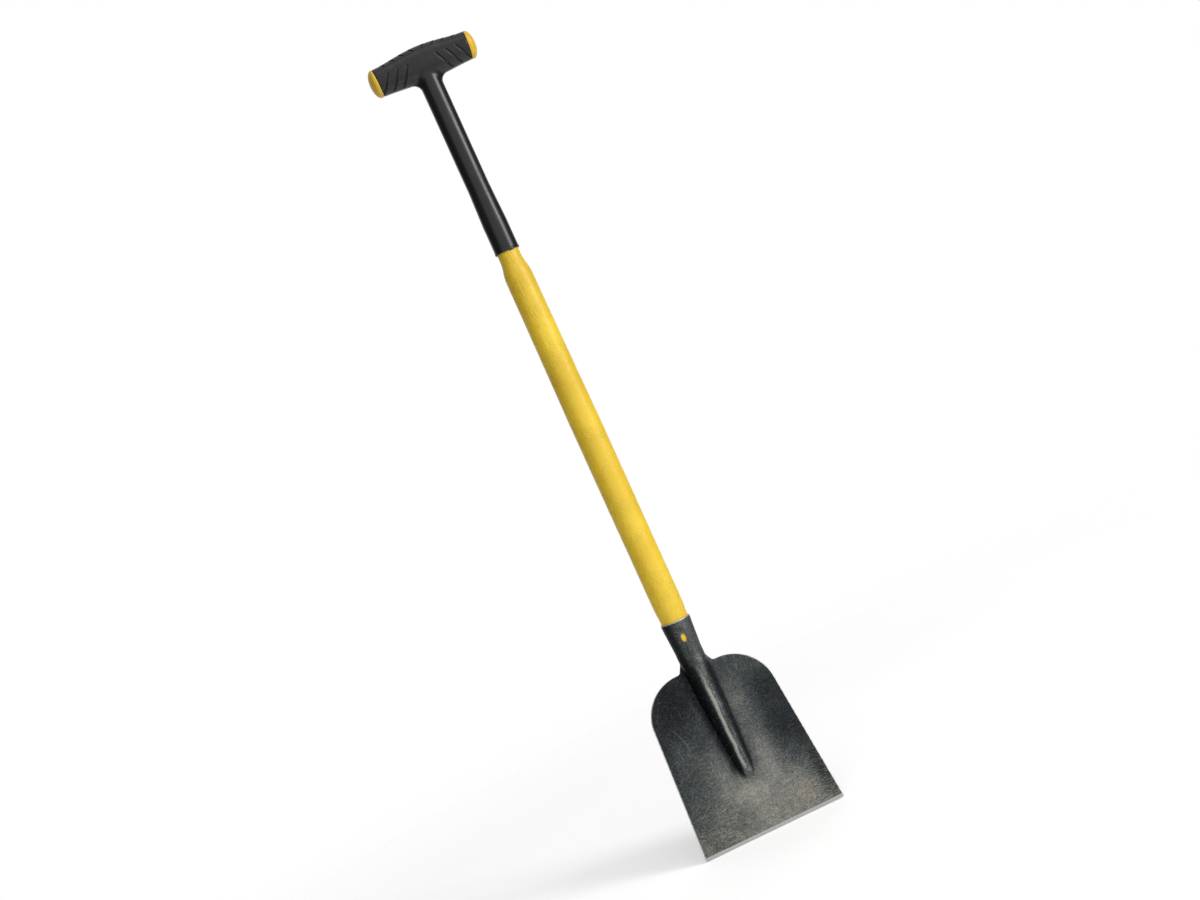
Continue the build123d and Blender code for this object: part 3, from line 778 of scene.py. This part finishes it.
def cap_piece(node, material):
    """One end cap: a shallow dome with a soft rim and a faint moulding wave."""
    mesh = fine_copy(node, CAP_VOXEL)
    points = relaxed(points_of(mesh), edges_of(mesh), 0.5, 5)
    set_points(mesh, points)
    wave = 0.04 * MM * space_noise(points, 7 * MM, 51)
    set_points(mesh, points + normals_of(mesh) * wave[:, None])
    finish_piece(node + "_shell", mesh, node, material)


def repaint(node, material):
    """A better material on a CAD node that stays."""
    shape = frame["nodes"][node]
    shape.data.materials.clear()
    shape.data.materials.append(material)


def floor():
    """A pale floor that fades into the white surroundings."""
    bpy.ops.mesh.primitive_circle_add(vertices=96, radius=FLOOR_RADIUS, fill_type="NGON")
    ground = bpy.context.object
    ground.name = "floor"
    ground.location = (0, FLOOR_Y, cad_low.z - FLOOR_GAP)
    graph = Graph("floor", Roughness=0.9)
    graph.give("Specular IOR Level", 0.1)
    pale = graph.ramp(graph.noise(0.4, 2.0), (0.3, (0.88, 0.88, 0.88)), (0.7, (0.91, 0.91, 0.91)))
    graph.give("Base Color", pale)
    graph.give("Emission Color", (1, 1, 1, 1))
    graph.give("Emission Strength", 0.30)
    distance = graph.add("ShaderNodeVectorMath", {0: graph.where}, operation="LENGTH").outputs["Value"]
    graph.give("Alpha", graph.fade(distance, 0.95 * FLOOR_RADIUS, 0.25 * FLOOR_RADIUS))
    ground.data.materials.append(graph.material)


def surroundings():
    """A studio: white as seen directly, a broad soft light in front, white behind, and dim between."""
    world = bpy.data.worlds.new("studio")
    bpy.context.scene.world = world
    world.use_nodes = True
    tree = world.node_tree
    tree.nodes.clear()

    def add(kind, inputs, **settings):
        node = tree.nodes.new(kind)
        for key, value in settings.items():
            setattr(node, key, value)
        for key, value in inputs.items():
            if isinstance(value, bpy.types.NodeSocket):
                tree.links.new(value, node.inputs[key])
            else:
                node.inputs[key].default_value = value
        return node

    direction = add("ShaderNodeTexCoord", {}).outputs["Generated"]
    total = STUDIO_DIM
    for towards, start, end, strength in STUDIO_LIGHTS:
        inputs = {0: direction, 1: tuple(Vector(towards).normalized())}
        facing = add("ShaderNodeVectorMath", inputs, operation="DOT_PRODUCT").outputs["Value"]
        inputs = {"Value": facing, "From Min": start, "From Max": end, "To Max": strength}
        share = add("ShaderNodeMapRange", inputs, interpolation_type="SMOOTHSTEP").outputs[0]
        total = add("ShaderNodeMath", {0: total, 1: share}, operation="ADD").outputs[0]
    seen = add("ShaderNodeLightPath", {}).outputs["Is Camera Ray"]
    strength = add("ShaderNodeMix", {0: seen, 2: total, 3: 1.0}, data_type="FLOAT").outputs[0]
    background = add("ShaderNodeBackground", {"Color": (1, 1, 1, 1), "Strength": strength})
    add("ShaderNodeOutputWorld", {"Surface": background.outputs[0]})


def softbox(name, place, aim, size, power):
    """A soft rectangular light at place, turned to aim."""
    light = bpy.data.lights.new(name, "AREA")
    light.shape = "RECTANGLE"
    light.size, light.size_y = size
    light.energy = power
    lamp = bpy.data.objects.new(name, light)
    lamp.location = place
    lamp.rotation_euler = (Vector(aim) - Vector(place)).to_track_quat("-Z", "Y").to_euler()
    bpy.context.scene.collection.objects.link(lamp)


def camera():
    """The photograph's view: nearly square to the blade, with the handle leaning up and to the left."""
    view = bpy.data.cameras.new("camera")
    view.lens = LENS
    eye = bpy.data.objects.new("camera", view)
    bpy.context.scene.collection.objects.link(eye)
    angle = math.radians(VIEW_AZIMUTH_DEG)
    aim = Vector(VIEW_AIM)
    place = Vector((math.sin(angle) * VIEW_DISTANCE, -math.cos(angle) * VIEW_DISTANCE, VIEW_HEIGHT))
    turn = (aim - place).to_track_quat("-Z", "Y").to_matrix()
    roll = Matrix.Rotation(-math.radians(VIEW_ROLL_DEG), 3, "Z")
    eye.matrix_world = Matrix.Translation(place) @ (turn @ roll).to_4x4()
    bpy.context.scene.camera = eye


def build():
    blade_piece()
    grip_piece()
    jacket_piece()
    cap_material = yellow_cap()
    for node in ("left_end_cap", "right_end_cap"):
        cap_piece(node, cap_material)
    repaint("socket_screw", screw_steel())
    repaint("shaft_core", fibreglass())
    repaint("grip_core", grip_nylon())
    floor()
    surroundings()
    softbox("key", KEY_PLACE, KEY_AIM, KEY_SIZE, KEY_POWER)
    camera()
    bpy.context.scene.view_settings.view_transform = "Standard"


build()
bpy.context.view_layer.update()
